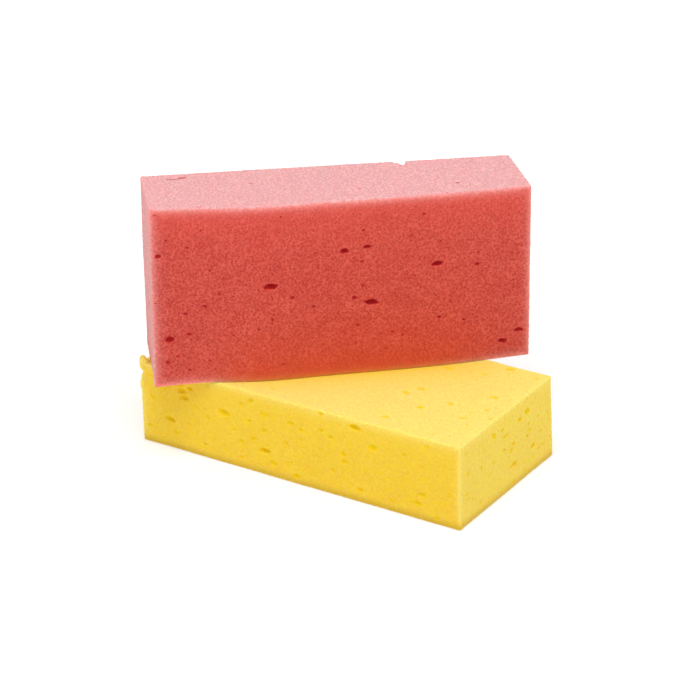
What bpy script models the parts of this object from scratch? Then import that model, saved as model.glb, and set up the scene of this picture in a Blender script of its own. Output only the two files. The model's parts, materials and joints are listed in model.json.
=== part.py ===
"""A pair of cellular foam wash sponges, one red and one yellow, stored one on the other.

The yellow block lies flat. The red block stands on its long narrow side on top of it, turned across
it, with both of its ends hanging past the yellow block's long sides. Each sponge is one cut block of
open-cell foam, so it is one solid with slightly rounded edges and with the larger gas pockets that
the cut has opened. Metres, +Z up. The origin is the centre of the yellow block's underside, +X runs
along its long side, and the long side seen from the front is at -Y.
"""

import math

import bmesh
import bpy
from mathutils import Matrix, Vector

# Driving dimensions, in metres: length, width and height as each block stands.
YELLOW_SIZE = (0.198, 0.0995, 0.046)
RED_SIZE = (0.200, 0.053, 0.0955)

# The cut edges are only a little rounded by handling, and show as creases where they turn this far.
YELLOW_EDGE_ROUND = 0.0010
RED_EDGE_ROUND = 0.0008
EDGE_SEGMENTS = 3
BEVEL_ABOVE_ANGLE = math.radians(40.0)
CREASE_ANGLE = math.radians(35.0)

# The red block's front side swells outwards along its whole length, and once more left of its middle:
# that swell's place along the length, how far it spreads and how far it stands out.
RED_FRONT_BOW = 0.0055
RED_LOCAL_SWELL = (-0.047, 0.027, 0.0026)
RED_BOW_STRIPS = 16

# Where the red block stands: the middle of its underside, and how far it is turned from +X.
RED_CENTRE = (-0.019, 0.020)
RED_TURN = math.radians(42.0)
REST_GAP = 0.0003

# A burst gas pocket is a flattened hollow this deep for its width.
PORE_DEPTH_PER_WIDTH = 0.42
PORE_SEGMENTS = 12
PORE_RINGS = 8

# Opened pockets: (along, up or across, width, height) on each side, from the middle of that side's
# length and from its lower edge, or from the block's centre line on a top side.
RED_FRONT_PORES = (
    (-0.0388, 0.0522, 0.0073, 0.0034),
    (0.0137, 0.0391, 0.0075, 0.0034),
    (-0.0915, 0.0251, 0.0054, 0.0034),
    (0.0493, 0.0575, 0.0065, 0.0028),
    (-0.0002, 0.0684, 0.0052, 0.0028),
    (0.0118, 0.0698, 0.0047, 0.0022),
    (0.0049, 0.0424, 0.0037, 0.0022),
    (0.0938, 0.0152, 0.0057, 0.0023),
    (0.0849, 0.0101, 0.0056, 0.0023),
)
YELLOW_FRONT_PORES = (
    (-0.0797, 0.0171, 0.0068, 0.0030),
    (-0.0444, 0.0296, 0.0078, 0.0046),
    (-0.0186, 0.0139, 0.0077, 0.0034),
    (0.0012, 0.0062, 0.0063, 0.0040),
    (0.0371, 0.0398, 0.0072, 0.0033),
    (0.0485, 0.0333, 0.0060, 0.0044),
    (0.0300, 0.0227, 0.0049, 0.0054),
    (0.0770, 0.0143, 0.0053, 0.0028),
)
YELLOW_RIGHT_PORES = (
    (-0.0144, 0.0377, 0.0045, 0.0045),
    (0.0220, 0.0368, 0.0045, 0.0034),
)
YELLOW_TOP_PORES = ((0.0588, -0.0195, 0.0060, 0.0050),)

# A nick torn out of the red block's back upper edge: along, width, reach from the edge, depth.
NICK_ALONG = 0.0416
NICK_WIDTH = 0.0054
NICK_REACH = 0.0053
NICK_DEPTH = 0.0034

# A shred of foam stands up at the yellow block's front left corner, with a tear under it. Both are
# placed from the corner along the length and the width, the tear's middle just outside the block.
SHRED_INSET = (0.0016, 0.0018)
SHRED_SIZE = (0.0056, 0.0056, 0.0110)
SHRED_CENTRE_HEIGHT = 0.0462
TEAR_INSET = (-0.0010, -0.0010)
TEAR_SIZE = (0.0052, 0.0052, 0.0050)
TEAR_HEIGHT = 0.0376

RED_COLOUR = (0.66, 0.075, 0.055, 1.0)
YELLOW_COLOUR = (0.90, 0.58, 0.045, 1.0)
FOAM_ROUGHNESS = 0.95

COLLECTION_NAME = "foam_sponge_pair"
CUTTER_COLLECTION_NAME = "cutters"


def clear_scene():
    """Removes every object that the file opened with."""
    for obj in list(bpy.data.objects):
        bpy.data.objects.remove(obj, do_unlink=True)


def new_collection(name):
    """Returns a new collection, linked to the scene."""
    collection = bpy.data.collections.new(name)
    bpy.context.scene.collection.children.link(collection)
    return collection


def foam_material(name, colour):
    """Returns a matt foam material of one colour."""
    material = bpy.data.materials.new(name)
    material.use_nodes = True
    shader = material.node_tree.nodes["Principled BSDF"]
    shader.inputs["Base Color"].default_value = colour
    shader.inputs["Roughness"].default_value = FOAM_ROUGHNESS
    shader.inputs["Metallic"].default_value = 0.0
    return material


def object_from_bmesh(name, bm, collection):
    """Turns a bmesh into an object in the given collection."""
    mesh = bpy.data.meshes.new(name)
    bm.normal_update()
    bm.to_mesh(mesh)
    bm.free()
    obj = bpy.data.objects.new(name, mesh)
    collection.objects.link(obj)
    return obj


def red_front_swell(along):
    """How far the red block's front side swells outwards at a place along its length."""
    middle, spread, amount = RED_LOCAL_SWELL
    whole_length = RED_FRONT_BOW * (1.0 - (2.0 * along / RED_SIZE[0]) ** 2)
    return whole_length + amount * math.exp(-(((along - middle) / spread) ** 2))


def foam_block(name, size, edge_round, collection, front_swell=None, strips=1):
    """A cut block whose underside is centred on its origin, with its -Y side swollen if asked."""
    length, width, height = size
    bm = bmesh.new()
    bmesh.ops.create_cube(bm, size=1.0)
    bmesh.ops.scale(bm, vec=size, verts=bm.verts)
    bmesh.ops.translate(bm, vec=(0.0, 0.0, height / 2), verts=bm.verts)
    if strips > 1:
        long_edges = [e for e in bm.edges if abs(e.verts[0].co.x - e.verts[1].co.x) > length / 2]
        bmesh.ops.subdivide_edges(bm, edges=long_edges, cuts=strips - 1, use_grid_fill=True)
    for vertex in bm.verts:
        if front_swell and vertex.co.y < 0.0:
            vertex.co.y -= front_swell(vertex.co.x)
    block = object_from_bmesh(name, bm, collection)
    bevel = block.modifiers.new("rounded_edges", "BEVEL")
    bevel.width = edge_round
    bevel.segments = EDGE_SEGMENTS
    bevel.limit_method = "ANGLE"
    bevel.angle_limit = BEVEL_ABOVE_ANGLE
    return block


def add_ellipsoid(bm, centre, size, segments=PORE_SEGMENTS, rings=PORE_RINGS):
    """Adds a closed ellipsoid of the given full size to a bmesh."""
    placed = Matrix.Translation(Vector(centre)) @ Matrix.Diagonal((*size, 1.0))
    bmesh.ops.create_uvsphere(bm, u_segments=segments, v_segments=rings, radius=0.5, matrix=placed)


def boolean(target, tool, operation, label):
    """Cuts or joins one object with another."""
    modifier = target.modifiers.new(label, "BOOLEAN")
    modifier.object = tool
    modifier.operation = operation
    modifier.solver = "EXACT"


def cutter_object(name, bm, parent, collection):
    """A hidden wire object that is used only by a Boolean, placed with its block."""
    cutter = object_from_bmesh(name, bm, collection)
    cutter.parent = parent
    cutter.display_type = "WIRE"
    cutter.hide_render = True
    return cutter


def finish_block(block, material):
    """Gives a block its material and smooth rounded edges."""
    block.data.materials.append(material)
    block.data.shade_smooth()
    block.data.set_sharp_from_angle(angle=CREASE_ANGLE)


def build_yellow_sponge(parts, cutters):
    """The yellow block lies flat, with a shred standing up at its front left corner."""
    length, width, height = YELLOW_SIZE
    block = foam_block("yellow_sponge", YELLOW_SIZE, YELLOW_EDGE_ROUND, parts)
    corner = Vector((-length / 2, -width / 2, 0.0))

    shred = bmesh.new()
    add_ellipsoid(shred, corner + Vector((*SHRED_INSET, SHRED_CENTRE_HEIGHT)), SHRED_SIZE)
    boolean(block, cutter_object("corner_shred", shred, block, cutters), "UNION", "corner_shred")

    hollows = bmesh.new()
    add_ellipsoid(hollows, corner + Vector((*TEAR_INSET, TEAR_HEIGHT)), TEAR_SIZE)
    for along, up, pore_width, pore_height in YELLOW_FRONT_PORES:
        depth = 2 * PORE_DEPTH_PER_WIDTH * pore_width
        add_ellipsoid(hollows, (along, -width / 2, up), (pore_width, depth, pore_height))
    for along, up, pore_width, pore_height in YELLOW_RIGHT_PORES:
        depth = 2 * PORE_DEPTH_PER_WIDTH * pore_width
        add_ellipsoid(hollows, (length / 2, along, up), (depth, pore_width, pore_height))
    for along, across, pore_width, pore_height in YELLOW_TOP_PORES:
        depth = 2 * PORE_DEPTH_PER_WIDTH * pore_width
        add_ellipsoid(hollows, (along, across, height), (pore_width, pore_height, depth))
    cutter = cutter_object("yellow_hollows", hollows, block, cutters)
    boolean(block, cutter, "DIFFERENCE", "opened_pockets")

    finish_block(block, foam_material("yellow_foam", YELLOW_COLOUR))


def build_red_sponge(parts, cutters):
    """The red block stands on edge across the yellow one, and lifts straight off it."""
    _length, width, height = RED_SIZE
    block = foam_block("red_sponge", RED_SIZE, RED_EDGE_ROUND, parts, red_front_swell, RED_BOW_STRIPS)
    block.location = (*RED_CENTRE, YELLOW_SIZE[2] + REST_GAP)
    block.rotation_euler = (0.0, 0.0, RED_TURN)

    hollows = bmesh.new()
    for along, up, pore_width, pore_height in RED_FRONT_PORES:
        depth = 2 * PORE_DEPTH_PER_WIDTH * pore_width
        front = -width / 2 - red_front_swell(along)
        add_ellipsoid(hollows, (along, front, up), (pore_width, depth, pore_height))
    add_ellipsoid(hollows, (NICK_ALONG, width / 2, height), (NICK_WIDTH, 2 * NICK_REACH, 2 * NICK_DEPTH))
    cutter = cutter_object("red_hollows", hollows, block, cutters)
    boolean(block, cutter, "DIFFERENCE", "opened_pockets")

    finish_block(block, foam_material("red_foam", RED_COLOUR))


clear_scene()
part_collection = new_collection(COLLECTION_NAME)
cutter_collection = new_collection(CUTTER_COLLECTION_NAME)
build_yellow_sponge(part_collection, cutter_collection)
build_red_sponge(part_collection, cutter_collection)
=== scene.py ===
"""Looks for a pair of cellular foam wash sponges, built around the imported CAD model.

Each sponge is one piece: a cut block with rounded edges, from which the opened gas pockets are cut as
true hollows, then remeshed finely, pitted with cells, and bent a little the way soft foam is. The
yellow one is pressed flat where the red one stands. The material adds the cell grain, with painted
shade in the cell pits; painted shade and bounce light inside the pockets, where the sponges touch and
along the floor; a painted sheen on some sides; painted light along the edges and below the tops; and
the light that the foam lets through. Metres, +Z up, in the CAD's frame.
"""

import json
import math
import random
from types import SimpleNamespace

import bmesh
import bpy
import numpy as np
from mathutils import Matrix, Vector


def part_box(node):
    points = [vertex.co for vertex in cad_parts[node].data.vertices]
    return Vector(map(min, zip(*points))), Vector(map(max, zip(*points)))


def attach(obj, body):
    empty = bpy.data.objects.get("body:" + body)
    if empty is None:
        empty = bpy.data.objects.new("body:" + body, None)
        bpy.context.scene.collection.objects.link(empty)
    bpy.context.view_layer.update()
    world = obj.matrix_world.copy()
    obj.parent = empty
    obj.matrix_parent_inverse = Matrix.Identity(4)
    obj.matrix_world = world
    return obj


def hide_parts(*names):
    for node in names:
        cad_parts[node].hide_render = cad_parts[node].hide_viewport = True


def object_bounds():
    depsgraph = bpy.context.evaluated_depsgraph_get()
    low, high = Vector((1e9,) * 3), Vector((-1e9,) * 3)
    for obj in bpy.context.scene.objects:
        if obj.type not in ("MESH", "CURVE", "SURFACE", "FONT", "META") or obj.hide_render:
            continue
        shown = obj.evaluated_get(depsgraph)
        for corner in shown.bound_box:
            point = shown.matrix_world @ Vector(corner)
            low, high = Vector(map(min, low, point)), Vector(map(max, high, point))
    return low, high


MM = 0.001

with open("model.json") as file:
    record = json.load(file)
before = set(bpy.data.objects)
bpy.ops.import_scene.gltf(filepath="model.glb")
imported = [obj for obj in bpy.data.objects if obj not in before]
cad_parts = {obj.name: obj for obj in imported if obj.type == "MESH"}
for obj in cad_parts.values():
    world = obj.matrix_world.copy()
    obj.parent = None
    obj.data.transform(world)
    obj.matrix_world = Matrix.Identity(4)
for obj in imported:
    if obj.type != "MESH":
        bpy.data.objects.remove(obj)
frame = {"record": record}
cad_low, cad_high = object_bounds()

# ---------------------------------------------------------------------------------------------------
# The CAD model's driving sizes: length, width and height as each block stands, and how the red one
# swells and stands.
YELLOW_SIZE = np.array((0.198, 0.0995, 0.046))
RED_SIZE = np.array((0.200, 0.053, 0.0955))
RED_FRONT_BOW = 5.5 * MM
RED_TURN = math.radians(42.0)
RED_MIDDLE = next(m for m in frame["record"]["mounts"] if m["name"] == "top_face")["pos_m"]

# How far the cut edges are rounded.
YELLOW_EDGE_ROUND = 0.5 * MM
RED_EDGE_ROUND = 0.4 * MM
EDGE_SEGMENTS = 4

# The mesh that carries the cells and pockets, and the cells that are real relief on it.
VOXEL = 0.5 * MM
CELL = 1.3 * MM
CELL_RELIEF = 0.36 * MM

# The map that a bake can use: the gap round its islands, and how far a face's direction counts, against
# its place, when it is given to a side.
MAP_MARGIN = 4.0 * MM
MAP_FACING = 1.5 * MM

# Painted light: the edges are paler this far in, with this steepness, as a glow of light through the
# thin foam. Some of the sides are paler with a painted sheen: how pale each of those sides is, and how
# far that spreads over its edges.
EDGE_GLOW_FADE = 1.6 * MM
EDGE_GLOW_STEEPNESS = 1.3
YELLOW_PAINTED_SHEEN_SIDES = {
    "top": (1.0, 2.3 * MM),
    "bottom": (1.0, 1.8 * MM),
    "left": (0.8, 2.6 * MM),
    "right": (0.25, 1.8 * MM),
}
RED_PAINTED_SHEEN_SIDES = {
    "top": (1.0, 1.7 * MM),
    "bottom": (0.75, 1.8 * MM),
    "left": (0.65, 2.2 * MM),
    "right": (0.6, 1.4 * MM),
}

# Painted light: below its top side a sponge's colour is a little brighter, this far down.
PAINTED_UPPER_LIGHT_FADE = 12.0 * MM

# Painted shade and bounce light: where a sponge touches the other one or the floor its colour is deepened,
# this far around.
YELLOW_CONTACT_FADE = 11.0 * MM
RED_CONTACT_FADE = 16.0 * MM
FLOOR_SHADE_FADE = 3.2 * MM

# The painted shade and bounce light of the touching sponges only reach this far in from the yellow one's
# long sides.
CONTACT_INSET = 6.0 * MM
CONTACT_BLEND = 6.0 * MM

# How much of a side's painted sheen and painted upper light is taken away where the sponges touch.
CONTACT_SHADES = 0.95

# A hollow takes the pocket colour, painted shade and bounce light, between these depths. A rounded edge
# lies below both of its sides, so there the depths start lower, by this share of the rounding.
YELLOW_POCKET_SHADE_DEPTHS = (0.22 * MM, 0.45 * MM)
RED_POCKET_SHADE_DEPTHS = (0.25 * MM, 0.62 * MM)
ROUNDED_ALLOWANCE = 0.35

# The grain of the material, whose darker cell middles are partly painted shade in the cell pits. Each
# layer fades in over a range of its pattern's values, and takes a share of the colour.
CELL_GRAIN = 1.25 * MM
CELL_RANGE = (0.15, 0.80)
GRAIN_CLUMP = 2.2 * MM
CLUMP_RANGE = (0.40, 0.65)
CLUMP_SHARE = 0.45
BLOTCH = 9.0 * MM
BLOTCH_RANGE = (0.35, 0.75)
BLOTCH_SHARE = 0.30
MOTTLE_RANGE = (0.54, 0.68)

# The share of the colour that each number stored on the mesh takes, laid over the grain in this order. All
# of them are painted light and shade: upper light, shade and bounce light where the sponges touch, edge
# glow, sheen, shade along the floor and shade and bounce light in the pockets.
PAINTED_UPPER_LIGHT_SHARE = 0.60
CONTACT_SHADE_AND_BOUNCE_SHARE = 0.70
EDGE_GLOW_SHARE = 0.70
PAINTED_SHEEN_SHARE = 0.92
FLOOR_SHADE_SHARE = 0.90
POCKET_SHADE_SHARE = 0.95

# Fine relief in the material: the strength and depth of the walls between cells and of the cells.
STRUT_SPACING = 0.62 * MM
STRUT_BUMP = (0.55, 0.10 * MM)
CELL_BUMP = (0.9, 0.22 * MM)

# How matt the foam is, and how much light goes into it and how far.
ROUGHNESS_RANGE = (0.75, 0.98)
SPECULAR_LEVEL = 0.12
SHEEN_WEIGHT = 0.15
SHEEN_ROUGHNESS = 0.5
LIGHT_SHARE = 0.9
LIGHT_DEPTH = 3.0 * MM

# Opened pockets with stated places: (along, up, width, height) in millimetres, from the middle of that
# side's length and from its lower edge, or from the centre line of a top side.
RED_FRONT_POCKETS = (
    (-38.8, 52.2, 7.3, 3.4), (13.7, 39.1, 7.5, 3.4), (-91.5, 25.1, 5.4, 3.4), (49.3, 57.5, 6.5, 2.8),
    (-0.2, 68.4, 5.2, 2.8), (11.8, 69.8, 4.7, 2.2), (4.9, 42.4, 3.7, 2.3), (-96.0, 70.3, 4.0, 2.6),
    (93.8, 15.2, 5.7, 2.3), (84.9, 10.1, 5.6, 2.3), (70.8, 55.2, 3.8, 1.7), (-27.9, 45.3, 2.6, 2.2),
    (-16.8, 39.3, 2.6, 1.7), (-73.0, 42.5, 3.1, 1.7), (-74.2, 83.6, 2.0, 1.6), (-81.1, 74.5, 2.2, 1.6),
    (-70.0, 61.9, 2.2, 1.8), (-65.3, 49.0, 2.2, 1.6), (-38.6, 34.0, 2.2, 1.6), (-58.7, 26.1, 2.4, 1.6),
    (-45.6, 28.9, 2.2, 1.5), (-71.2, 12.2, 2.2, 1.8), (-33.2, 89.3, 2.0, 1.4), (35.2, 73.9, 2.4, 1.6),
    (9.8, 79.0, 2.6, 1.5), (9.2, 48.6, 2.2, 1.5), (8.6, 61.8, 2.2, 1.6), (30.1, 19.4, 2.4, 1.6),
    (24.7, 21.6, 2.2, 1.5), (63.2, 24.8, 2.6, 1.6), (41.9, 85.3, 2.6, 1.6), (71.3, 61.7, 2.2, 1.5),
    (20.8, 12.7, 2.2, 1.5),
)
RED_TOP_POCKETS = (
    (-84.0, 18.6, 7.0, 1.8), (-78.5, 20.2, 6.0, 1.2), (63.0, -12.0, 3.4, 1.2), (54.4, -25.0, 2.4, 1.2),
)
YELLOW_FRONT_POCKETS = (
    (-79.7, 17.1, 6.8, 2.9), (-44.4, 29.6, 7.8, 4.4), (-18.9, 25.5, 4.4, 2.6), (-25.8, 19.4, 4.0, 2.6),
    (-18.6, 13.9, 7.7, 3.2), (-5.2, 22.1, 3.8, 2.6), (-13.0, 8.1, 5.0, 2.6), (1.0, 4.6, 6.0, 3.4),
    (16.7, 35.0, 3.7, 2.6), (37.1, 41.6, 7.2, 3.3), (48.5, 33.3, 6.0, 4.4), (30.0, 25.0, 4.6, 3.4),
    (31.0, 20.8, 4.4, 3.0), (77.0, 14.3, 5.3, 2.8), (74.2, 9.0, 5.3, 3.0), (40.6, 7.1, 4.6, 2.8),
    (89.1, 33.6, 3.0, 2.4), (85.2, 3.6, 3.5, 2.2), (-27.0, 41.0, 4.4, 2.4), (-76.0, 10.2, 3.4, 2.4),
    (-55.0, 23.9, 3.3, 2.5), (-33.0, 37.5, 3.6, 2.2), (22.5, 32.5, 4.2, 2.6), (66.5, 34.0, 3.4, 2.2),
    (59.0, 6.2, 4.0, 2.0), (76.5, 29.5, 3.0, 2.0),
)
YELLOW_RIGHT_POCKETS = (
    (-14.4, 37.7, 4.6, 4.6), (22.0, 36.8, 5.2, 3.4), (13.5, 35.4, 4.4, 2.6), (-41.0, 28.0, 3.0, 3.0),
    (-14.8, 22.8, 2.8, 3.2), (-27.5, 25.5, 2.6, 2.4), (-29.0, 7.5, 2.4, 3.0), (36.0, 20.0, 2.6, 2.0),
)
YELLOW_TOP_POCKETS = ((58.8, -19.5, 5.0, 4.0), (70.2, -7.7, 4.4, 3.4), (48.9, -38.5, 5.0, 3.2))

# The smallest that a stated pocket is cut, in millimetres, and how much wider than stated the others
# are, because the fine mesh closes their rims a little.
SMALLEST_STATED = 2.7
SMALLEST_STATED_HEIGHT = 0.75 * SMALLEST_STATED
STATED_EXTRA = 0.3

# Pockets scattered on the sides besides those: how many to a square metre.
RED_SCATTER = {"front": 5500, "back": 7500, "left": 6000, "right": 6000, "top": 1200, "bottom": 4000}
YELLOW_SCATTER = {
    "front": 24000, "back": 22000, "left": 20000, "right": 16000, "top": 7000, "bottom": 14000,
}
# The smallest scattered pocket of each sponge, and how much wider than that they are on average. How
# high they are for their width, also where they are kept small, which is this close to a stated pocket.
RED_WIDTHS = (1.5 * MM, 0.65 * MM)
YELLOW_WIDTHS = (2.2 * MM, 1.4 * MM)
LARGEST_SCATTERED = 6.5 * MM
RED_FLATNESS = (0.40, 0.85)
YELLOW_FLATNESS = (0.35, 0.70)
CROWDED_FLATNESS = 0.6
RED_KEPT_CLEAR = 4.0 * MM
YELLOW_KEPT_CLEAR = 3.0 * MM
EDGE_MARGIN = 1.6 * MM

# How deep a pocket is for its width, how that varies, and how much of it is left on a top side.
RED_DEPTH_SHARE = 0.33
YELLOW_DEPTH_SHARE = 0.22
SCATTERED_DEPTHS = (0.6, 1.1)
SCATTERED_TOP_SHARE = 0.65
YELLOW_STATED_TOP_SHARE = 0.7

# How far a pocket is turned, how far its middle lies below the side for its half depth, and how wide it
# is before smaller hollows beside it make its outline ragged.
POCKET_TURN = math.radians(9.0)
POCKET_SUNK = (0.10, 0.30)
RAGGED_ABOVE = 3.2 * MM

# The nick in the red block's back upper edge, in millimetres: how far along the edge, and the size of
# each of its hollows.
NICK_HOLLOWS = ((40.5, (4.6, 12.0, 7.0)), (37.8, (4.8, 5.4, 4.4)))

# The shred and the tears at the yellow block's front left corner, in millimetres: how far from the
# corner along the length and the width, how high, and how large. Torn foam gets no painted pocket shade.
SHRED_LUMPS = (
    (1.4, 1.5, 46.0, (5.0, 5.0, 11.4)),
    (2.4, 2.0, 47.6, (4.8, 4.8, 10.6)),
    (1.2, 1.4, 33.0, (4.6, 4.6, 9.0)),
)
TEARS = (
    (-0.4, -0.6, 40.0, (5.4, 5.4, 4.0)),
    (-0.6, -1.0, 27.6, (3.4, 3.4, 3.0)),
)
TORN_REACH = 7.5 * MM

# Corners that soft foam leaves a little out of square: (right, back, top) to a move in millimetres.
YELLOW_CORNER_SHIFTS = {
    (True, True, True): (-2.3, 0.0, 0.0),
    (True, False, True): (-1.1, 0.0, 0.3),
    (False, False, False): (0.3, 0.0, 0.0),
}
RED_CORNER_SHIFTS = {
    (False, True, True): (0.3, 0.0, 0.4),
    (False, False, False): (-0.6, 0.0, 0.0),
    (False, False, True): (0.4, 2.8, 0.0),
    (True, True, True): (0.0, 0.0, -0.5),
    (True, False, True): (0.4, 3.2, -0.5),
    (True, False, False): (0.7, 0.0, 0.0),
}

# The shallow waves that a band knife leaves: how far they stand out, how many are laid over each other,
# and how long they are.
YELLOW_WAVINESS = 0.30 * MM
RED_WAVINESS = 0.25 * MM
WAVES = 5
WAVE_LENGTHS = (28.0 * MM, 85.0 * MM)

# The red block's front swells most left of its middle (where, how far it spreads and how much) and
# along its lower edge. Its front left corner droops where it hangs past the yellow block.
RED_LOCAL_SWELL = (-47.0 * MM, 27.0 * MM, 2.6 * MM)
RED_LOWER_SWELL = 1.6 * MM
RED_DROOP = 2.5 * MM

# The red block's weight closes the gap that the CAD model leaves under it, all but the last hundredth
# of a millimetre. It also squares off its rounded lower edge by this much, fading out this far up.
RED_SETTLE = 0.29 * MM
RED_SQUARED = 0.4 * MM
RED_SQUARED_REACH = 2.0 * MM

# Under the red sponge the yellow one's top is pressed flat, fading out this far from it. Pockets in it
# that are deeper than this stay open.
PRESSED_FADE = 4.0 * MM
PRESSED_DEEPEST = 0.8 * MM

YELLOW_SEED = 11
RED_SEED = 5

# The foams' colours. A cell's colour goes from a dark one, partly painted shade in the pits, to a light
# one, and so does the painted sheen's. The pocket colour is painted shade and bounce light in the hollows,
# and also tints the mottle. The edge, upper light, touching, touching edge and floor colours are painted
# light and shade. The mottle is its spacing and its share, and the light path says how far red, green and
# blue light travel.
YELLOW_FOAM = SimpleNamespace(
    name="yellow_foam_look",
    cell=((0.86, 0.545, 0.026), (0.94, 0.655, 0.054)),
    painted_sheen=((0.84, 0.66, 0.125), (0.93, 0.78, 0.185)),
    pocket=(0.93, 0.645, 0.003),
    edge=(0.92, 0.73, 0.19),
    bright=(0.92, 0.65, 0.050),
    contact=(0.86, 0.56, 0.022),
    contact_edge_glow=(0.90, 0.60, 0.05),
    floor=(0.60, 0.39, 0.022),
    mottle=(3.6 * MM, 0.60),
    light_path=(1.0, 0.60, 0.12),
)
RED_FOAM = SimpleNamespace(
    name="red_foam_look",
    cell=((0.455, 0.029, 0.022), (0.715, 0.128, 0.092)),
    painted_sheen=((0.65, 0.27, 0.275), (0.84, 0.445, 0.445)),
    pocket=(0.56, 0.014, 0.018),
    edge=(0.80, 0.32, 0.25),
    bright=(0.82, 0.115, 0.090),
    contact=(0.73, 0.094, 0.015),
    contact_edge_glow=(1.0, 0.40, 0.006),
    floor=(0.40, 0.03, 0.02),
    mottle=(2.2 * MM, 0.14),
    light_path=(1.8, 0.30, 0.22),
)

# The white floor reaches this far to each side, lies this far below the sponges, and glows more
# strongly further away from them.
FLOOR_REACH = 6.0
FLOOR_DROP = 0.2 * MM
FLOOR_WHITE = 0.62
FLOOR_GLOW_DISTANCES = (0.15, 0.60)
FLOOR_GLOW = (0.44, 0.72)

# One soft box stands above the sponges on the camera's side, and the surround is white.
SOFT_BOX_FORWARD = 0.55
SOFT_BOX_HEIGHT = 1.5
SOFT_BOX_SIZE = 0.9
SOFT_BOX_POWER = 16.0
SURROUND_STRENGTH = 0.60

# The camera stands to the right of the front, looking down.
CAMERA_AZIMUTH = math.radians(32.5)
CAMERA_ELEVATION = math.radians(24.1)
CAMERA_ROLL = math.radians(-0.4)
CAMERA_DISTANCE = 1.21
CAMERA_AIM = Vector((-9.2, 18.7, 47.95)) * MM
CAMERA_LENS_MM = 115.55
CAMERA_SENSOR_MM = 36.0
CAMERA_CLIP_END = 50.0


# ---------------------------------------------------------------------------------------------------
# Mesh work
def lump_template():
    """Corners and triangles of a unit ball."""
    bm = bmesh.new()
    bmesh.ops.create_icosphere(bm, subdivisions=2, radius=0.5)
    corners = np.array([v.co[:] for v in bm.verts])
    triangles = np.array([[v.index for v in f.verts] for f in bm.faces])
    bm.free()
    return corners, triangles


BALL_CORNERS, BALL_TRIANGLES = lump_template()


def ball_cluster(name, balls):
    """One mesh object of ellipsoids, from (centre, 3x3 matrix whose columns are the full axes)."""
    corners = [BALL_CORNERS @ axes.T + centre for centre, axes in balls]
    triangles = [BALL_TRIANGLES + len(BALL_CORNERS) * i for i in range(len(balls))]
    mesh = bpy.data.meshes.new(name)
    mesh.from_pydata(np.concatenate(corners).tolist(), [], np.concatenate(triangles).tolist())
    obj = bpy.data.objects.new(name, mesh)
    bpy.context.scene.collection.objects.link(obj)
    return obj


def separate_layers(balls):
    """Sorts ellipsoids into layers in which no two touch, because a cutter must not cross itself."""
    layers = []
    for centre, axes in balls:
        reach = np.linalg.norm(axes, axis=0).max() / 2
        for layer in layers:
            if all(np.linalg.norm(centre - c) > reach + r for c, r, _ in layer):
                layer.append((centre, reach, axes))
                break
        else:
            layers.append([(centre, reach, axes)])
    return [[(centre, axes) for centre, _reach, axes in layer] for layer in layers]


class Side:
    """One flat side of a block: its middle, its outward normal, its two directions and its size."""

    def __init__(self, middle, normal, along, up, span):
        self.middle = np.array(middle)
        self.normal = np.array(normal, float)
        self.along = np.array(along, float)
        self.up = np.array(up, float)
        self.span = span


def block_sides(size):
    """The six sides of a block that stands on its origin."""
    length, width, height = size
    x, y, z = np.eye(3)
    return {
        "front": Side((0, -width / 2, height / 2), -y, x, z, (length, height)),
        "back": Side((0, width / 2, height / 2), y, x, z, (length, height)),
        "left": Side((-length / 2, 0, height / 2), -x, y, z, (width, height)),
        "right": Side((length / 2, 0, height / 2), x, y, z, (width, height)),
        "top": Side((0, 0, height), z, x, y, (length, width)),
        "bottom": Side((0, 0, 0), -z, x, y, (length, width)),
    }


def pocket(side, along, up, width, height, rng, depth_share):
    """A hollow that opens on a side with about the given width and height."""
    turn = rng.gauss(0.0, POCKET_TURN)
    across = side.along * math.cos(turn) + side.up * math.sin(turn)
    upward = side.up * math.cos(turn) - side.along * math.sin(turn)
    sunk = rng.uniform(*POCKET_SUNK)
    wider = 1.0 / math.sqrt(1.0 - sunk * sunk)
    depth = 2.0 * depth_share * width
    centre = side.middle + side.along * along + side.up * up - side.normal * depth / 2 * sunk
    axes = np.column_stack((across * width * wider, upward * height * wider, side.normal * depth))
    if np.linalg.det(axes) < 0.0:
        axes[:, 0] *= -1.0
    return centre, axes


def pocket_cluster(side, along, up, width, height, rng, depth_share):
    """A pocket with a ragged outline: one main hollow and, where it is wide, smaller ones beside it."""
    found = [pocket(side, along, up, width * 0.84, height * 0.92, rng, depth_share)]
    if width > RAGGED_ABOVE:
        lean = rng.choice((-1.0, 1.0))
        # Each hollow beside the main one: its place and its size, as shares of the pocket's.
        beside = (
            (lean * rng.uniform(0.22, 0.34), -0.14, 0.5, 0.6),
            (-lean * rng.uniform(0.24, 0.36), 0.14, 0.4, 0.5),
        )
        for aside, higher, width_share, height_share in beside:
            place = (along + aside * width, up + higher * height)
            extent = (width_share * width, height_share * height)
            found.append(pocket(side, *place, *extent, rng, depth_share))
    return found


def stated_pockets(side, entries, rng, depth_share, from_lower_edge=True):
    """The pockets with stated places on one side."""
    found = []
    lift = side.span[1] / 2 if from_lower_edge else 0.0
    for along, up, width, height in entries:
        cut_width = max(width + STATED_EXTRA, SMALLEST_STATED) * MM
        cut_height = max(height + STATED_EXTRA, SMALLEST_STATED_HEIGHT) * MM
        found += pocket_cluster(side, along * MM, up * MM - lift, cut_width, cut_height, rng, depth_share)
    return found


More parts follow.
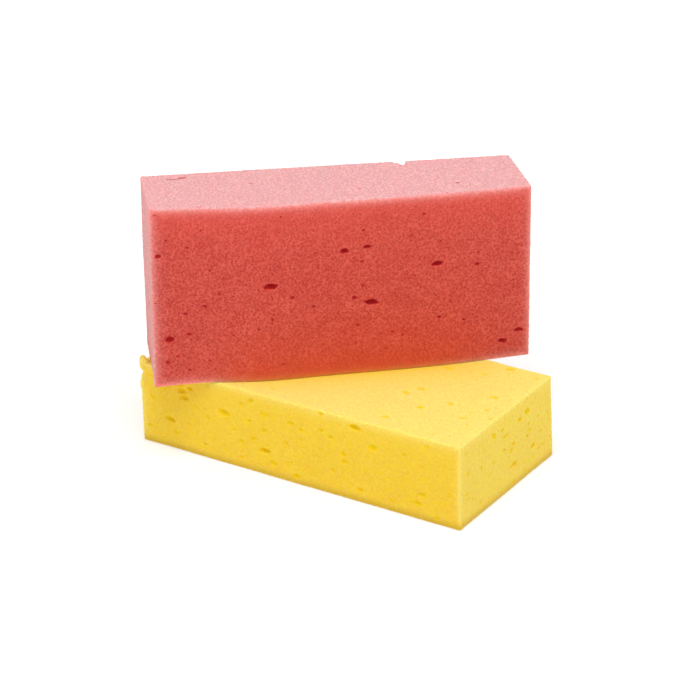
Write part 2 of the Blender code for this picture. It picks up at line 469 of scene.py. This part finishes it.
def scattered_pockets(sides, counts_per_m2, rng, flatness, widths, depth_share, kept_clear):
    """Random pockets over every side, only the smallest ones near the stated pockets."""
    found = []
    smallest, extra_width = widths
    for key, per_m2 in counts_per_m2.items():
        side = sides[key]
        for _ in range(round(per_m2 * side.span[0] * side.span[1])):
            along = rng.uniform(-0.5, 0.5) * (side.span[0] - 2 * EDGE_MARGIN)
            up = rng.uniform(-0.5, 0.5) * (side.span[1] - 2 * EDGE_MARGIN)
            width = min(smallest + rng.expovariate(1.0 / extra_width), LARGEST_SCATTERED)
            height = width * rng.uniform(*flatness)
            place = side.middle + side.along * along + side.up * up
            if any(np.linalg.norm(place - c) < reach + width for c, reach in kept_clear):
                width = smallest
                height = smallest * CROWDED_FLATNESS
            share = depth_share * rng.uniform(*SCATTERED_DEPTHS)
            if key == "top":
                share *= SCATTERED_TOP_SHARE
            found += pocket_cluster(side, along, up, width, height, rng, share)
    return found


def beside_corner(corner, entries):
    """Upright ellipsoids from their places beside a corner and their sizes, in millimetres."""
    return [(corner + np.array((x, y, z)) * MM, np.diag(extent) * MM) for x, y, z, extent in entries]


def add_boolean(block, helper, operation, label):
    """Joins a helper to a block, or cuts it away."""
    modifier = block.modifiers.new(label, "BOOLEAN")
    modifier.object = helper
    modifier.operation = operation
    modifier.solver = "MANIFOLD"


def cut_block(name, size, edge_round, hollows, lumps=()):
    """The block with its rounded edges, hollows and lumps, remeshed and pitted with cells."""
    bm = bmesh.new()
    bmesh.ops.create_cube(bm, size=1.0)
    bmesh.ops.scale(bm, vec=Vector(size), verts=bm.verts)
    bmesh.ops.translate(bm, vec=(0.0, 0.0, size[2] / 2), verts=bm.verts)
    mesh = bpy.data.meshes.new(name + "_block")
    bm.to_mesh(mesh)
    bm.free()
    block = bpy.data.objects.new(name + "_block", mesh)
    bpy.context.scene.collection.objects.link(block)

    bevel = block.modifiers.new("rounded_edges", "BEVEL")
    bevel.width = edge_round
    bevel.segments = EDGE_SEGMENTS
    helpers = [block]
    for layer in separate_layers(lumps):
        helpers.append(ball_cluster(name + "_lumps", layer))
        add_boolean(block, helpers[-1], "UNION", "shred")
    for layer in separate_layers(hollows):
        helpers.append(ball_cluster(name + "_hollows", layer))
        add_boolean(block, helpers[-1], "DIFFERENCE", "pockets")
    remesh = block.modifiers.new("fine_mesh", "REMESH")
    remesh.mode = "VOXEL"
    remesh.voxel_size = VOXEL
    cells = bpy.data.textures.new(name + "_cells", "VORONOI")
    cells.noise_scale = CELL
    pits = block.modifiers.new("cell_pits", "DISPLACE")
    pits.texture = cells
    pits.texture_coords = "LOCAL"
    pits.strength = CELL_RELIEF
    pits.mid_level = 0.5

    made = bpy.data.meshes.new_from_object(block.evaluated_get(bpy.context.evaluated_depsgraph_get()))
    made.name = name
    for helper in helpers:
        bpy.data.objects.remove(helper)
    sponge = bpy.data.objects.new(name, made)
    bpy.context.scene.collection.objects.link(sponge)
    return sponge


def read_points(mesh):
    """The mesh's corners as an array."""
    points = np.empty(len(mesh.vertices) * 3, np.float32)
    mesh.vertices.foreach_get("co", points)
    return points.reshape(-1, 3).astype(float)


def write_points(mesh, points):
    """Moves the mesh's corners."""
    mesh.vertices.foreach_set("co", points.astype(np.float32).ravel())
    mesh.update()


def depth_below_sides(points, size):
    """How far each point lies inside the plain block."""
    gap_x = size[0] / 2 - np.abs(points[:, 0])
    gap_y = size[1] / 2 - np.abs(points[:, 1])
    return np.min((gap_x, gap_y, points[:, 2], size[2] - points[:, 2]), axis=0)


def add_point_attribute(mesh, name, values):
    """Stores one number on each corner for the material."""
    attribute = mesh.attributes.new(name, "FLOAT", "POINT")
    attribute.data.foreach_set("value", values.astype(np.float32))


def distance_to_edge(points, size):
    """How far each point on a side is from the nearest edge: its second smallest gap to the sides."""
    gap_x = size[0] / 2 - np.abs(points[:, 0])
    gap_y = size[1] / 2 - np.abs(points[:, 1])
    gap_z = np.minimum(points[:, 2], size[2] - points[:, 2])
    return np.clip(np.sort(np.stack((gap_x, gap_y, gap_z)), axis=0)[1], 0.0, None)


def unwrap_by_side(mesh, size):
    """A map of six islands, one for each side of the block, so that a bake wastes nothing."""
    sides = block_sides(size)
    centres = np.empty(len(mesh.polygons) * 3, np.float32)
    mesh.polygons.foreach_get("center", centres)
    centres = centres.reshape(-1, 3)
    normals = np.empty(len(mesh.polygons) * 3, np.float32)
    mesh.polygons.foreach_get("normal", normals)
    normals = normals.reshape(-1, 3)
    order = ("front", "left", "back", "right", "top", "bottom")
    score = []
    for key in order:
        side = sides[key]
        gap = (side.middle - centres) @ side.normal
        score.append(gap - MAP_FACING * (normals @ side.normal))
    choice = np.argmin(score, axis=0)

    length, width, height = size
    first_column, second_column = MAP_MARGIN, length + 2 * MAP_MARGIN
    second_row = height + 2 * MAP_MARGIN
    third_row = 2 * height + 3 * MAP_MARGIN
    fourth_row = third_row + width + MAP_MARGIN
    full = max(second_column + width, fourth_row + width) + MAP_MARGIN
    corners = {
        "front": (first_column, MAP_MARGIN),
        "left": (second_column, MAP_MARGIN),
        "back": (first_column, second_row),
        "right": (second_column, second_row),
        "top": (first_column, third_row),
        "bottom": (first_column, fourth_row),
    }
    loop_points = np.empty(len(mesh.loops), np.int32)
    mesh.loops.foreach_get("vertex_index", loop_points)
    loop_totals = np.empty(len(mesh.polygons), np.int32)
    mesh.polygons.foreach_get("loop_total", loop_totals)
    loop_choice = np.repeat(choice, loop_totals)
    points = read_points(mesh)[loop_points]
    uv = np.zeros((len(loop_points), 2))
    for index, key in enumerate(order):
        side = sides[key]
        mine = loop_choice == index
        away = points[mine] - side.middle
        uv[mine, 0] = corners[key][0] + away @ side.along + side.span[0] / 2
        uv[mine, 1] = corners[key][1] + away @ side.up + side.span[1] / 2
    layer = mesh.uv_layers.new(name="OFBake")
    layer.data.foreach_set("uv", (uv / full).astype(np.float32).ravel())


def shift_corners(points, size, shifts):
    """Moves a block's corners by millimetres, and everything between them in proportion."""
    share = np.clip(points / size + (0.5, 0.5, 0.0), 0.0, 1.0)
    moved = points.copy()
    for (right, back, top), shift in shifts.items():
        weight = np.ones(len(points))
        for axis, is_far in enumerate((right, back, top)):
            weight *= share[:, axis] if is_far else 1.0 - share[:, axis]
        moved += weight[:, None] * np.array(shift) * MM
    return moved


def cut_waviness(points, amplitude, rng):
    """A slow, shallow waviness across the sides, as a band knife leaves."""
    moved = points.copy()
    for axis in (0, 1):
        others = [a for a in (0, 1, 2) if a != axis]
        wave = np.zeros(len(points))
        for _ in range(WAVES):
            length = rng.uniform(*WAVE_LENGTHS)
            angle = rng.uniform(0.0, math.pi)
            phase = rng.uniform(0.0, 2 * math.pi)
            run = points[:, others[0]] * math.cos(angle) + points[:, others[1]] * math.sin(angle)
            wave += np.sin(2 * math.pi * run / length + phase)
        moved[:, axis] += wave / WAVES * amplitude
    return moved


# ---------------------------------------------------------------------------------------------------
# Materials
def foam_material(foam):
    """Matt, translucent foam: cell grain, partly painted shade in the cell pits, slow blotches, and the
    painted light and shade that the mesh's numbers lay on.
    """
    cell_dark, cell_light = foam.cell
    mottle_spacing, mottle_share = foam.mottle
    material = bpy.data.materials.new(foam.name)
    material.use_nodes = True
    tree = material.node_tree
    nodes, links = tree.nodes, tree.links
    shader = nodes["Principled BSDF"]
    place = nodes.new("ShaderNodeTexCoord")

    def voronoi(size, feature="F1"):
        """Cells of a size."""
        node = nodes.new("ShaderNodeTexVoronoi")
        node.feature = feature
        node.inputs["Scale"].default_value = 1.0 / size
        links.new(place.outputs["Object"], node.inputs["Vector"])
        return node.outputs["Distance"]

    def noise(size, detail=2.0):
        """Soft noise of a size."""
        node = nodes.new("ShaderNodeTexNoise")
        node.inputs["Scale"].default_value = 1.0 / size
        node.inputs["Detail"].default_value = detail
        links.new(place.outputs["Object"], node.inputs["Vector"])
        return node.outputs["Fac"]

    def spread(value, source, target=(0.0, 1.0)):
        """Maps a value from one range to another, clamped."""
        node = nodes.new("ShaderNodeMapRange")
        node.inputs["From Min"].default_value = source[0]
        node.inputs["From Max"].default_value = source[1]
        node.inputs["To Min"].default_value = target[0]
        node.inputs["To Max"].default_value = target[1]
        links.new(value, node.inputs["Value"])
        return node.outputs["Result"]

    def mix(factor, a, b, share=1.0):
        """Blends two colours by a factor that is scaled by a share."""
        node = nodes.new("ShaderNodeMix")
        node.data_type = "RGBA"
        sockets = {s.identifier: s for s in node.inputs}
        links.new(spread(factor, (0.0, 1.0), (0.0, share)), sockets["Factor_Float"])
        for socket, value in ((sockets["A_Color"], a), (sockets["B_Color"], b)):
            if isinstance(value, tuple):
                socket.default_value = (*value, 1.0)
            else:
                links.new(value, socket)
        return next(s for s in node.outputs if s.identifier == "Result_Color")

    def painted(name):
        """A number stored on the mesh."""
        node = nodes.new("ShaderNodeAttribute")
        node.attribute_name = name
        return node.outputs["Fac"]

    def bump(height, strength_and_depth, below=None, invert=False):
        """A bump layer over an optional finer one."""
        node = nodes.new("ShaderNodeBump")
        node.invert = invert
        node.inputs["Strength"].default_value = strength_and_depth[0]
        node.inputs["Distance"].default_value = strength_and_depth[1]
        links.new(height, node.inputs["Height"])
        if below is not None:
            links.new(below, node.inputs["Normal"])
        return node.outputs["Normal"]

    # The cell grain: its darker cell middles are partly painted shade in the cell pits.
    cells = voronoi(CELL_GRAIN)
    in_cell = spread(cells, CELL_RANGE)
    base = mix(in_cell, cell_dark, cell_light)
    base = mix(spread(noise(GRAIN_CLUMP), CLUMP_RANGE), base, cell_light, CLUMP_SHARE)
    base = mix(spread(noise(BLOTCH, 3.0), BLOTCH_RANGE), base, cell_dark, BLOTCH_SHARE)
    base = mix(spread(noise(mottle_spacing), MOTTLE_RANGE), base, foam.pocket, mottle_share)
    # Painted light below the top side.
    base = mix(painted("bright"), base, foam.bright, PAINTED_UPPER_LIGHT_SHARE)
    # Painted shade and bounce light where the sponges touch.
    base = mix(painted("contact"), base, foam.contact, CONTACT_SHADE_AND_BOUNCE_SHARE)
    # Painted glow of light through the thin edges, orange where the sponges touch.
    edge = mix(painted("contact"), foam.edge, foam.contact_edge_glow)
    base = mix(painted("painted_edge_glow"), base, edge, EDGE_GLOW_SHARE)
    # Painted sheen on some sides, a pale veil laid over the grain.
    painted_sheen = mix(in_cell, *foam.painted_sheen)
    base = mix(painted("painted_sheen_side"), base, painted_sheen, PAINTED_SHEEN_SHARE)
    # Painted shade along the floor.
    base = mix(painted("floor"), base, foam.floor, FLOOR_SHADE_SHARE)
    # Painted shade and bounce light inside the pockets.
    base = mix(painted("pocket"), base, foam.pocket, POCKET_SHADE_SHARE)
    links.new(base, shader.inputs["Base Color"])
    links.new(spread(cells, (0.0, 1.0), ROUGHNESS_RANGE), shader.inputs["Roughness"])

    struts = bump(voronoi(STRUT_SPACING, "DISTANCE_TO_EDGE"), STRUT_BUMP, invert=True)
    links.new(bump(cells, CELL_BUMP, struts), shader.inputs["Normal"])

    shader.inputs["Subsurface Weight"].default_value = LIGHT_SHARE
    shader.inputs["Subsurface Radius"].default_value = foam.light_path
    shader.inputs["Subsurface Scale"].default_value = LIGHT_DEPTH
    shader.inputs["Sheen Weight"].default_value = SHEEN_WEIGHT
    shader.inputs["Sheen Roughness"].default_value = SHEEN_ROUGHNESS
    shader.inputs["Specular IOR Level"].default_value = SPECULAR_LEVEL
    return material


# ---------------------------------------------------------------------------------------------------
# The two sponges
def finish_sponge(sponge, foam, body, node):
    """Smooth shading, material, and the calls that tie the sponge to the frame."""
    sponge.data.shade_smooth()
    sponge.data.materials.clear()
    sponge.data.materials.append(foam_material(foam))
    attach(sponge, body)
    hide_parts(node)


def outside_rectangle(points, middle, turn, length, width):
    """How far each point is, seen from above, from a rectangle; nought inside it."""
    away = points[:, :2] - np.array(middle[:2])
    along = away[:, 0] * math.cos(turn) + away[:, 1] * math.sin(turn)
    across = away[:, 1] * math.cos(turn) - away[:, 0] * math.sin(turn)
    past_end = np.clip(np.abs(along) - length / 2, 0.0, None)
    past_side = np.clip(np.abs(across) - width / 2, 0.0, None)
    return np.hypot(past_end, past_side)


def share_over_yellow(world_y):
    """Nearly one well inside the yellow block's long sides, nearly nought outside them."""
    inside = YELLOW_SIZE[1] / 2 - np.abs(world_y)
    return 1.0 / (1.0 + np.exp(-(inside - CONTACT_INSET) / CONTACT_BLEND))


def store_shading(mesh, points, size, edge_round, pocket_shade_depths, painted_sheen_sides, contact, floor, torn):
    """Stores how deep each point is in a pocket and how near an edge, as masks of painted light and shade:
    in the pockets, along the edges, where the sponges touch, along the floor, as a sheen on some sides and
    below the top.
    """
    # Painted shade and bounce light inside the pockets, from how deep each point lies; none on torn foam.
    depth = depth_below_sides(points, size)
    for place in torn:
        depth[np.linalg.norm(points - place, axis=1) < TORN_REACH] = 0.0
    start, full = pocket_shade_depths
    from_edge = distance_to_edge(points, size)
    allowed = np.where(from_edge < edge_round, ROUNDED_ALLOWANCE * edge_round, 0.0)
    add_point_attribute(mesh, "pocket", np.clip((depth - start - allowed) / (full - start), 0.0, 1.0))
    # Painted glow along the edges, taken away along the floor.
    edge = np.exp(-((from_edge / EDGE_GLOW_FADE) ** EDGE_GLOW_STEEPNESS))
    # Where the sponges touch or the floor is, the painted sheen and painted upper light are taken away.
    open_to_light = 1.0 - np.maximum(CONTACT_SHADES * contact, floor)
    add_point_attribute(mesh, "painted_edge_glow", edge * (1.0 - floor))
    # Painted sheen on some sides.
    painted_sheen = np.zeros(len(points))
    for key, (weight, fade) in painted_sheen_sides.items():
        side = block_sides(size)[key]
        gap = np.clip((side.middle - points) @ side.normal, 0.0, None)
        painted_sheen = np.maximum(painted_sheen, weight * np.exp(-gap / fade))
    add_point_attribute(mesh, "painted_sheen_side", painted_sheen * open_to_light)
    # Painted light below the top side.
    bright = np.exp(-np.clip(size[2] - points[:, 2], 0.0, None) / PAINTED_UPPER_LIGHT_FADE)
    add_point_attribute(mesh, "bright", bright * open_to_light)
    # Painted shade and bounce light where the sponges touch, and painted shade along the floor.
    add_point_attribute(mesh, "contact", contact)
    add_point_attribute(mesh, "floor", floor)


def build_yellow():
    """The yellow sponge: many wide shallow pockets, a torn corner, and a top pressed flat under the red."""
    rng = random.Random(YELLOW_SEED)
    size = YELLOW_SIZE
    sides = block_sides(size)
    stated = stated_pockets(sides["front"], YELLOW_FRONT_POCKETS, rng, YELLOW_DEPTH_SHARE)
    stated += stated_pockets(sides["right"], YELLOW_RIGHT_POCKETS, rng, YELLOW_DEPTH_SHARE)
    top_share = YELLOW_DEPTH_SHARE * YELLOW_STATED_TOP_SHARE
    stated += stated_pockets(sides["top"], YELLOW_TOP_POCKETS, rng, top_share, False)
    clear = [(centre, YELLOW_KEPT_CLEAR) for centre, _axes in stated]
    scattered = scattered_pockets(
        sides, YELLOW_SCATTER, rng, YELLOW_FLATNESS, YELLOW_WIDTHS, YELLOW_DEPTH_SHARE, clear
    )
    corner = np.array((-size[0] / 2, -size[1] / 2, 0.0))
    tears = beside_corner(corner, TEARS)
    lumps = beside_corner(corner, SHRED_LUMPS)

    hollows = stated + scattered + tears
    sponge = cut_block("yellow_foam_block", size, YELLOW_EDGE_ROUND, hollows, lumps)
    mesh = sponge.data
    unwrap_by_side(mesh, size)
    points = read_points(mesh)
    swollen = RED_SIZE[1] + 2 * (RED_FRONT_BOW + RED_LOCAL_SWELL[2])
    under_red = outside_rectangle(points, RED_MIDDLE, RED_TURN, RED_SIZE[0], swollen)
    # Painted shade on the yellow sponge round where the red one stands.
    contact = np.exp(-np.hypot(under_red, points[:, 2] - size[2]) / YELLOW_CONTACT_FADE)
    contact *= share_over_yellow(points[:, 1])
    # Painted shade along the floor.
    floor = np.exp(-((np.clip(points[:, 2], 0.0, None) / FLOOR_SHADE_FADE) ** 2))
    torn = [centre for centre, _axes in tears]
    store_shading(
        mesh, points, size, YELLOW_EDGE_ROUND, YELLOW_POCKET_SHADE_DEPTHS, YELLOW_PAINTED_SHEEN_SIDES, contact, floor, torn
    )
    points = cut_waviness(points, YELLOW_WAVINESS, rng)
    points = shift_corners(points, size, YELLOW_CORNER_SHIFTS)
    points[:, 2] = np.maximum(points[:, 2], 0.0)
    pressed = np.exp(-((under_red / PRESSED_FADE) ** 2))
    pressed[points[:, 2] < size[2] - PRESSED_DEEPEST] = 0.0
    points[:, 2] += pressed * (size[2] - points[:, 2])
    write_points(mesh, points)
    finish_sponge(sponge, YELLOW_FOAM, "yellow", "yellow_sponge")


def red_world_y(points):
    """How far back the red block's points are once it stands in its place."""
    return RED_MIDDLE[1] + points[:, 0] * math.sin(RED_TURN) + points[:, 1] * math.cos(RED_TURN)


def droop_past_edge(points, size):
    """How far the red block hangs down past the yellow block's front side: most at its lowest corner."""
    past = np.clip(-YELLOW_SIZE[1] / 2 - red_world_y(points), 0.0, None)
    corner_y = RED_MIDDLE[1] - size[0] / 2 * math.sin(RED_TURN) - size[1] / 2 * math.cos(RED_TURN)
    furthest = -YELLOW_SIZE[1] / 2 - corner_y
    return RED_DROOP * (past / furthest) ** 1.5 * np.clip(1.0 - points[:, 2] / size[2], 0.0, 1.0) ** 2


def red_front_swell(points, size):
    """How far the red block's front side stands out at each point."""
    over_length = 1.0 - (2.0 * points[:, 0] / size[0]) ** 2
    middle, spread, amount = RED_LOCAL_SWELL
    lower = np.clip(1.0 - points[:, 2] / size[2], 0.0, 1.0)
    swell = (RED_FRONT_BOW + RED_LOWER_SWELL * lower**2) * over_length
    return swell + amount * np.exp(-(((points[:, 0] - middle) / spread) ** 2))


def build_red():
    """The red sponge: fewer and deeper pockets, a nick, and a front side that swells."""
    rng = random.Random(RED_SEED)
    size = RED_SIZE
    sides = block_sides(size)
    stated = stated_pockets(sides["front"], RED_FRONT_POCKETS, rng, RED_DEPTH_SHARE)
    stated += stated_pockets(sides["top"], RED_TOP_POCKETS, rng, RED_DEPTH_SHARE, False)
    clear = [(centre, RED_KEPT_CLEAR) for centre, _axes in stated]
    scattered = scattered_pockets(
        sides, RED_SCATTER, rng, RED_FLATNESS, RED_WIDTHS, RED_DEPTH_SHARE, clear
    )
    upper_back_edge = np.array((0.0, size[1] / 2, size[2]))
    nick = beside_corner(upper_back_edge, [(along, 0.0, 0.0, extent) for along, extent in NICK_HOLLOWS])

    sponge = cut_block("red_foam_block", size, RED_EDGE_ROUND, stated + scattered + nick)
    mesh = sponge.data
    unwrap_by_side(mesh, size)
    points = read_points(mesh)
    # Painted bounce light and shade on the red sponge's lower part, where it stands over the yellow one.
    contact = np.exp(-np.clip(points[:, 2], 0.0, None) / RED_CONTACT_FADE)
    contact *= share_over_yellow(red_world_y(points))
    floor = np.zeros(len(points))
    torn = [centre for centre, _axes in nick]
    store_shading(
        mesh, points, size, RED_EDGE_ROUND, RED_POCKET_SHADE_DEPTHS, RED_PAINTED_SHEEN_SIDES, contact, floor, torn
    )
    toward_front = np.clip(0.5 - points[:, 1] / size[1], 0.0, 1.0)
    points[:, 1] -= red_front_swell(points, size) * toward_front
    points = cut_waviness(points, RED_WAVINESS, rng)
    points = shift_corners(points, size, RED_CORNER_SHIFTS)
    squared = RED_SQUARED * np.clip(1.0 - points[:, 2] / RED_SQUARED_REACH, 0.0, 1.0)
    low_share = np.clip(1.0 - points[:, 2] / size[2], 0.0, 1.0)
    lowered = droop_past_edge(points, size) + RED_SETTLE * low_share
    points[:, 2] = np.maximum(points[:, 2] - squared, 0.0) - lowered
    write_points(mesh, points)
    low, _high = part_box("red_sponge")
    sponge.location = (RED_MIDDLE[0], RED_MIDDLE[1], low.z)
    sponge.rotation_euler = (0.0, 0.0, RED_TURN)
    finish_sponge(sponge, RED_FOAM, "red", "red_sponge")


# ---------------------------------------------------------------------------------------------------
# Stage, light and camera
def build_stage():
    """A plain white floor."""
    bm = bmesh.new()
    bmesh.ops.create_grid(bm, x_segments=1, y_segments=1, size=FLOOR_REACH)
    mesh = bpy.data.meshes.new("floor")
    bm.to_mesh(mesh)
    bm.free()
    floor = bpy.data.objects.new("floor", mesh)
    floor.location.z = cad_low[2] - FLOOR_DROP
    bpy.context.scene.collection.objects.link(floor)
    material = bpy.data.materials.new("floor_white")
    material.use_nodes = True
    nodes, links = material.node_tree.nodes, material.node_tree.links
    shader = nodes["Principled BSDF"]
    shader.inputs["Base Color"].default_value = (FLOOR_WHITE, FLOOR_WHITE, FLOOR_WHITE, 1.0)
    shader.inputs["Roughness"].default_value = 1.0
    shader.inputs["Specular IOR Level"].default_value = 0.0
    shader.inputs["Emission Color"].default_value = (1.0, 1.0, 1.0, 1.0)
    place = nodes.new("ShaderNodeTexCoord")
    distance = nodes.new("ShaderNodeVectorMath")
    distance.operation = "LENGTH"
    links.new(place.outputs["Object"], distance.inputs[0])
    glow = nodes.new("ShaderNodeMapRange")
    glow.inputs["From Min"].default_value = FLOOR_GLOW_DISTANCES[0]
    glow.inputs["From Max"].default_value = FLOOR_GLOW_DISTANCES[1]
    glow.inputs["To Min"].default_value = FLOOR_GLOW[0]
    glow.inputs["To Max"].default_value = FLOOR_GLOW[1]
    links.new(distance.outputs["Value"], glow.inputs["Value"])
    links.new(glow.outputs["Result"], shader.inputs["Emission Strength"])
    mesh.materials.append(material)


def toward_camera(elevation):
    """A direction on the camera's side, this far above level."""
    level = math.cos(elevation)
    return Vector((
        math.sin(CAMERA_AZIMUTH) * level, -math.cos(CAMERA_AZIMUTH) * level, math.sin(elevation)
    ))


def build_lights(middle):
    """One large soft box above the sponges on the camera's side, and a white surround."""
    data = bpy.data.lights.new("key_softbox", "AREA")
    data.shape = "SQUARE"
    data.size = SOFT_BOX_SIZE
    data.energy = SOFT_BOX_POWER
    soft_box = bpy.data.objects.new("key_softbox", data)
    soft_box.location = middle + toward_camera(0.0) * SOFT_BOX_FORWARD + Vector((0.0, 0.0, SOFT_BOX_HEIGHT))
    soft_box.rotation_euler = (middle - soft_box.location).to_track_quat("-Z", "Y").to_euler()
    bpy.context.scene.collection.objects.link(soft_box)

    world = bpy.data.worlds.new("white_surround")
    world.use_nodes = True
    background = world.node_tree.nodes["Background"]
    background.inputs["Color"].default_value = (1.0, 1.0, 1.0, 1.0)
    background.inputs["Strength"].default_value = SURROUND_STRENGTH
    bpy.context.scene.world = world


def build_camera():
    """A long lens that looks down on the front right corner of the yellow sponge."""
    data = bpy.data.cameras.new("camera")
    data.lens = CAMERA_LENS_MM
    data.sensor_width = CAMERA_SENSOR_MM
    data.clip_end = CAMERA_CLIP_END
    camera = bpy.data.objects.new("camera", data)
    bpy.context.scene.collection.objects.link(camera)
    camera.location = CAMERA_AIM + toward_camera(CAMERA_ELEVATION) * CAMERA_DISTANCE
    upright = (CAMERA_AIM - camera.location).to_track_quat("-Z", "Y").to_matrix()
    camera.rotation_euler = (upright @ Matrix.Rotation(CAMERA_ROLL, 3, "Z")).to_euler()
    bpy.context.scene.camera = camera


build_yellow()
build_red()
build_stage()
build_lights((Vector(cad_low) + Vector(cad_high)) / 2)
build_camera()
bpy.context.scene.view_settings.view_transform = "Standard"
